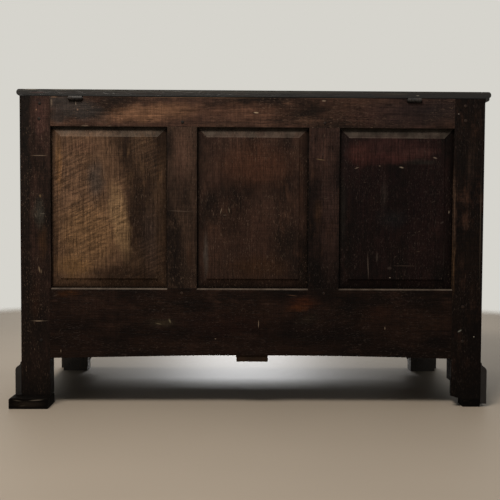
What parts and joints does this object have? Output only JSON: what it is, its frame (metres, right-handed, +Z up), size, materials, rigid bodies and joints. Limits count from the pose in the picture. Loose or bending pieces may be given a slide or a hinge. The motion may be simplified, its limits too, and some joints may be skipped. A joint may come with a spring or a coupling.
{
  "type": "mule chest",
  "caption": "Joined oak mule chest with a hinged lid over fielded panels, two base drawers with swan-neck handles, and a plinth with bracket feet.",
  "frame": {"origin": "middle of the whole box, at floor level", "axes": "+Z up, -Y towards the front with the drawers, +Y the framed back, +X to the right seen from the front"},
  "size_m": [1.361, 0.6208, 0.9],
  "materials": {
    "frame_oak": "old dark oak, waxed and weathered",
    "panel_oak": "riven oak panel, brown with worn patches",
    "lid_oak": "dark oak lid, grey at the back edge",
    "lining_oak": "dry unfinished oak linings",
    "iron": "blacksmith-forged iron, dark and dry",
    "brass": "old cast brass, worn bright"
  },
  "bodies": {
    "case": {"left_rear_stile": "frame_oak", "right_rear_stile": "frame_oak", "left_front_stile": "frame_oak", "right_front_stile": "frame_oak", "back_top_rail": "frame_oak", "back_bottom_rail": "frame_oak", "back_left_muntin": "frame_oak", "back_right_muntin": "frame_oak", "front_top_rail": "frame_oak", "front_middle_rail": "frame_oak", "front_bottom_rail": "frame_oak", "front_left_muntin": "frame_oak", "front_right_muntin": "frame_oak", "drawer_divider": "frame_oak", "left_side_top_rail": "frame_oak", "left_side_bottom_rail": "frame_oak", "right_side_top_rail": "frame_oak", "right_side_bottom_rail": "frame_oak", "front_plinth": "frame_oak", "left_side_plinth": "frame_oak", "right_side_plinth": "frame_oak", "left_rear_foot_block": "frame_oak", "right_rear_foot_block": "frame_oak", "back_left_panel": "panel_oak", "back_centre_panel": "panel_oak", "back_right_panel": "panel_oak", "front_left_panel": "panel_oak", "front_centre_panel": "panel_oak", "front_right_panel": "panel_oak", "left_side_panel": "panel_oak", "right_side_panel": "panel_oak", "chest_floor": "lining_oak", "left_drawer_runner": "lining_oak", "centre_drawer_runner": "lining_oak", "right_drawer_runner": "lining_oak", "left_hinge_tail": "iron", "right_hinge_tail": "iron", "lock_case": "iron"},
    "lid": {"lid": "lid_oak", "left_hinge_strap": "iron", "right_hinge_strap": "iron", "lid_lock_staple": "iron"},
    "left_drawer": {"left_drawer_front": "frame_oak", "left_drawer_left_side": "lining_oak", "left_drawer_right_side": "lining_oak", "left_drawer_back": "lining_oak", "left_drawer_bottom": "lining_oak", "left_drawer_left_handle_plate": "brass", "left_drawer_right_handle_plate": "brass"},
    "right_drawer": {"right_drawer_front": "frame_oak", "right_drawer_left_side": "lining_oak", "right_drawer_right_side": "lining_oak", "right_drawer_back": "lining_oak", "right_drawer_bottom": "lining_oak", "right_drawer_left_handle_plate": "brass", "right_drawer_right_handle_plate": "brass"},
    "left_drawer_left_bail": {"left_drawer_left_bail": "brass"},
    "left_drawer_right_bail": {"left_drawer_right_bail": "brass"},
    "right_drawer_left_bail": {"right_drawer_left_bail": "brass"},
    "right_drawer_right_bail": {"right_drawer_right_bail": "brass"}
  },
  "joints": [
    {"name": "lid_hinge", "type": "hinge", "parent": "case", "child": "lid", "pos_m": [-0.005, 0.2774, 0.8752], "axis": [-1, 0, 0], "range_deg": [0, 100]},
    {"name": "left_drawer_slide", "type": "slide", "parent": "case", "child": "left_drawer", "axis": [0, -1, 0], "range_m": [0, 0.36]},
    {"name": "right_drawer_slide", "type": "slide", "parent": "case", "child": "right_drawer", "axis": [0, -1, 0], "range_m": [0, 0.36]},
    {"name": "right_drawer_left_bail_swing", "type": "hinge", "parent": "right_drawer", "child": "right_drawer_left_bail", "pos_m": [0.1557, -0.3049, 0.234], "axis": [-1, 0, 0], "range_deg": [0, 120]},
    {"name": "right_drawer_right_bail_swing", "type": "hinge", "parent": "right_drawer", "child": "right_drawer_right_bail", "pos_m": [0.4363, -0.3049, 0.234], "axis": [-1, 0, 0], "range_deg": [0, 120]},
    {"name": "left_drawer_left_bail_swing", "type": "hinge", "parent": "left_drawer", "child": "left_drawer_left_bail", "pos_m": [-0.4463, -0.3049, 0.234], "axis": [-1, 0, 0], "range_deg": [0, 120]},
    {"name": "left_drawer_right_bail_swing", "type": "hinge", "parent": "left_drawer", "child": "left_drawer_right_bail", "pos_m": [-0.1657, -0.3049, 0.234], "axis": [-1, 0, 0], "range_deg": [0, 120]}
  ]
}
